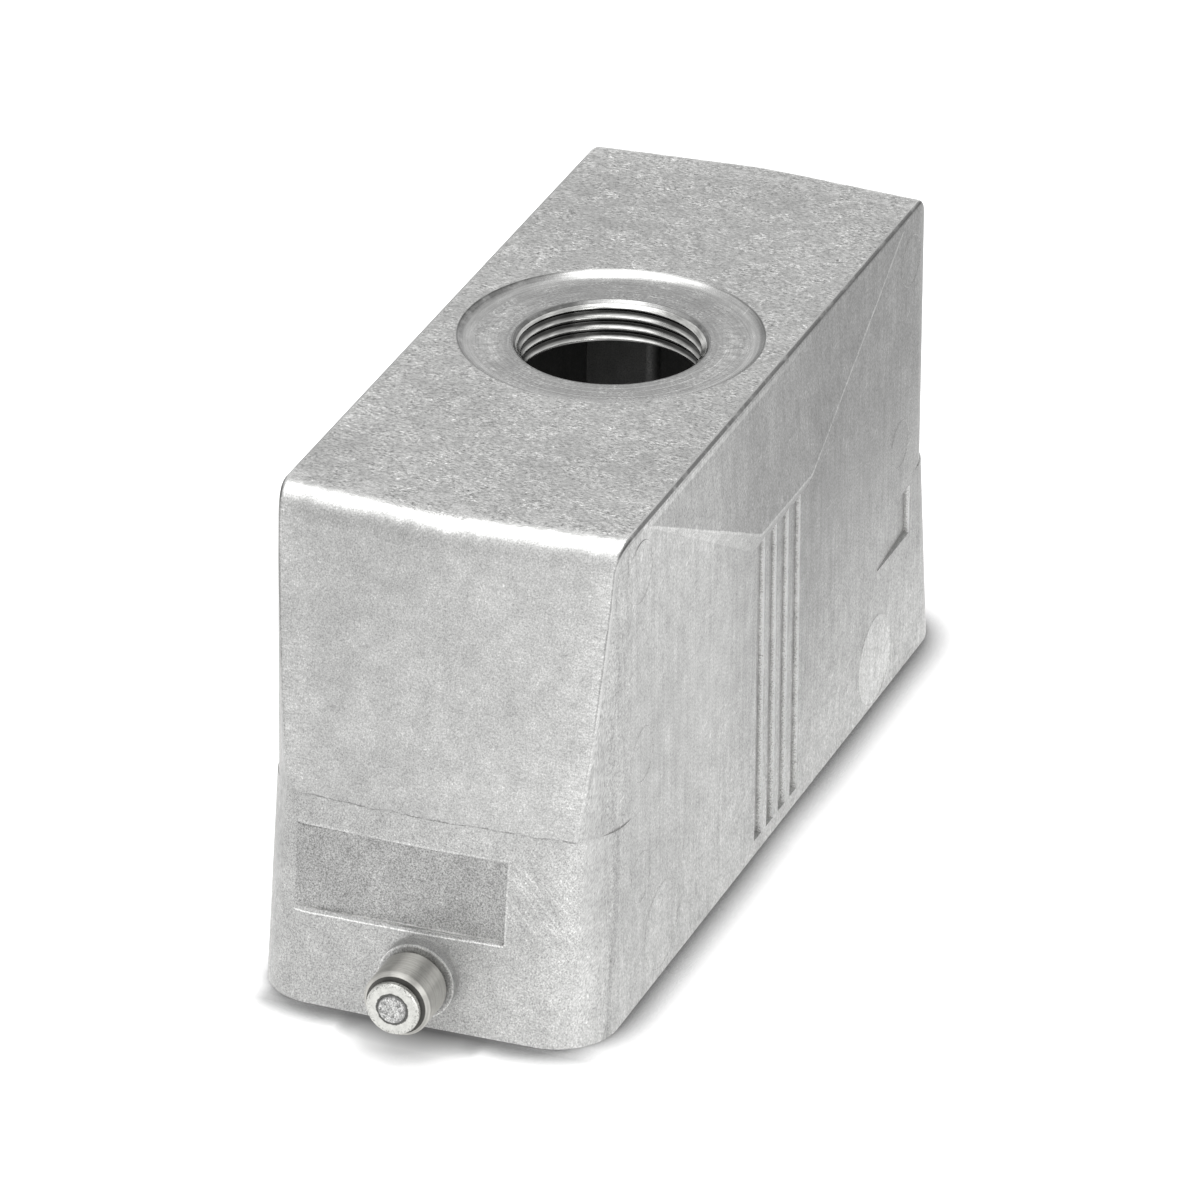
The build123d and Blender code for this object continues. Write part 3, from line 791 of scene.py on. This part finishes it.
def studio_sheet():
    """White matt paper that lifts to plain white where its painted shadow doesn't fall."""
    material, tree = new_material("white studio sheet")
    rays = add_node(tree, "ShaderNodeLightPath")
    foot = add_node(tree, "ShaderNodeAmbientOcclusion", {"Distance": shadow_reach * mm}, samples=8)
    coords = add_node(tree, "ShaderNodeTexCoord")
    x, y, _ = add_node(tree, "ShaderNodeSeparateXYZ", {0: coords.outputs["Object"]}).outputs
    # The leaning end wall shades the sheet less, so its share of the painted shadow is drawn out to the same
    # reach
    before_end = add_node(tree, "ShaderNodeMapRange", {0: x, 1: end_shade_x[0] * mm, 2: end_shade_x[1] * mm})
    shade = add_node(tree, "ShaderNodeMapRange", {
        0: foot.outputs["AO"], 1: add_node(tree, "ShaderNodeMapRange", {0: before_end, 3: 0.95, 4: 0.99}),
        2: add_node(tree, "ShaderNodeMapRange", {0: before_end, 3: 0.5, 4: 0.72}), 3: 0.0, 4: 0.88,
    })
    from_spine = add_node(tree, "ShaderNodeMath", {0: y}, operation="ABSOLUTE")
    under_peg = overlap(tree, [
        add_node(tree, "ShaderNodeMapRange", {0: x, 1: peg_shade_x[0] * mm, 2: peg_shade_x[1] * mm}),
        add_node(tree, "ShaderNodeMapRange", {0: from_spine, 1: peg_shade_y[0] * mm, 2: peg_shade_y[1] * mm}),
    ])
    seen_shade = overlap(tree, [
        shade, rays.outputs["Is Camera Ray"],
        add_node(tree, "ShaderNodeMapRange", {
            0: y, 1: back_shade_y[0] * mm, 2: back_shade_y[1] * mm, 3: 1.0, 4: 0.2,
        }),
        add_node(tree, "ShaderNodeMapRange", {0: under_peg, 3: 1.0, 4: 0.5}),
    ])
    open_share = add_node(tree, "ShaderNodeMath", {0: 1.0, 1: seen_shade}, operation="SUBTRACT")
    tone = add_node(
        tree, "ShaderNodeVectorMath", {0: linear("#f4f4f4")[:3], "Scale": open_share}, operation="SCALE",
    )
    paper = add_node(tree, "ShaderNodeBsdfDiffuse", {"Color": tone})
    seen = add_node(
        tree, "ShaderNodeMath",
        {0: rays.outputs["Is Camera Ray"], 1: rays.outputs["Is Glossy Ray"]}, operation="MAXIMUM",
    )
    glow = overlap(tree, [seen, open_share, lift_strength])
    lift = add_node(tree, "ShaderNodeEmission", {"Color": (1, 1, 1, 1), "Strength": glow})
    shown = add_node(tree, "ShaderNodeAddShader", {0: paper, 1: lift})
    add_node(tree, "ShaderNodeOutputMaterial", {"Surface": shown})
    return material


floor_mesh = bpy.data.meshes.new("studio_floor")
half = floor_size / 2
corners = [(-half, -half, 0), (half, -half, 0), (half, half, 0), (-half, half, 0)]
floor_mesh.from_pydata(corners, [], [(0, 1, 2, 3)])
floor = bpy.data.objects.new("studio_floor", floor_mesh)
floor.data.materials.append(studio_sheet())
bpy.context.scene.collection.objects.link(floor)

# Light: an even white room, as a photographer's tent gives it, a large soft box straight above and
# a weak small one off the near corner.
world = bpy.data.worlds.new("white studio")
bpy.context.scene.world = world
world.use_nodes = True
room = world.node_tree
room.nodes.clear()
rays = add_node(room, "ShaderNodeLightPath")
seen = add_node(
    room, "ShaderNodeMath",
    {0: rays.outputs["Is Camera Ray"], 1: rays.outputs["Is Glossy Ray"]}, operation="MAXIMUM",
)
strength = add_node(room, "ShaderNodeMapRange", {0: seen, 3: 0.5, 4: 1.0})
backdrop = add_node(room, "ShaderNodeBackground", {"Color": (1, 1, 1, 1), "Strength": strength})
add_node(room, "ShaderNodeOutputWorld", {"Surface": backdrop})

for name, spot, size, power in (
    ("overhead_box", (-0.10, 0.12, 1.0), 0.9, 6.4),
    ("corner_box", (-0.30, -0.40, 0.20), 0.25, 0.7),
):
    lamp = bpy.data.objects.new(name, bpy.data.lights.new(name, "AREA"))
    lamp.data.shape = "SQUARE"
    lamp.data.size = size
    lamp.data.energy = power
    lamp.location = spot
    lamp.rotation_euler = Vector(spot).to_track_quat("Z", "Y").to_euler()
    bpy.context.scene.collection.objects.link(lamp)

# Camera: a long lens that looks from the near end's front side, a little above the roof. Its place was
# worked out from where the part's corners lie in the picture.
photo_width = 1200
focal_pixels = 10348.5
sensor_width = 36
camera_turn = math.radians(20.91)
camera_drop = math.radians(27.05)
camera_roll = math.radians(0.46)
camera_distance = 1228.99 * mm
aim_height = 30 * mm
aim_right = -1.08 * mm
aim_up = -3.10 * mm

forward = Vector((
    math.cos(camera_drop) * math.cos(camera_turn),
    math.cos(camera_drop) * math.sin(camera_turn),
    -math.sin(camera_drop),
))
level_right = Vector((math.sin(camera_turn), -math.cos(camera_turn), 0))
level_up = level_right.cross(forward)
right = math.cos(camera_roll) * level_right + math.sin(camera_roll) * level_up
up = -math.sin(camera_roll) * level_right + math.cos(camera_roll) * level_up

camera = bpy.data.objects.new("camera", bpy.data.cameras.new("camera"))
camera.data.sensor_width = sensor_width
camera.data.lens = focal_pixels / photo_width * sensor_width
camera.data.clip_start = 0.1
camera.data.clip_end = 20
spot = Vector((0, 0, aim_height)) + aim_right * right + aim_up * up - camera_distance * forward
camera.matrix_world = Matrix.Translation(spot) @ Matrix((right, up, -forward)).transposed().to_4x4()
bpy.context.scene.collection.objects.link(camera)
bpy.context.scene.camera = camera
bpy.context.scene.view_settings.view_transform = "Standard"
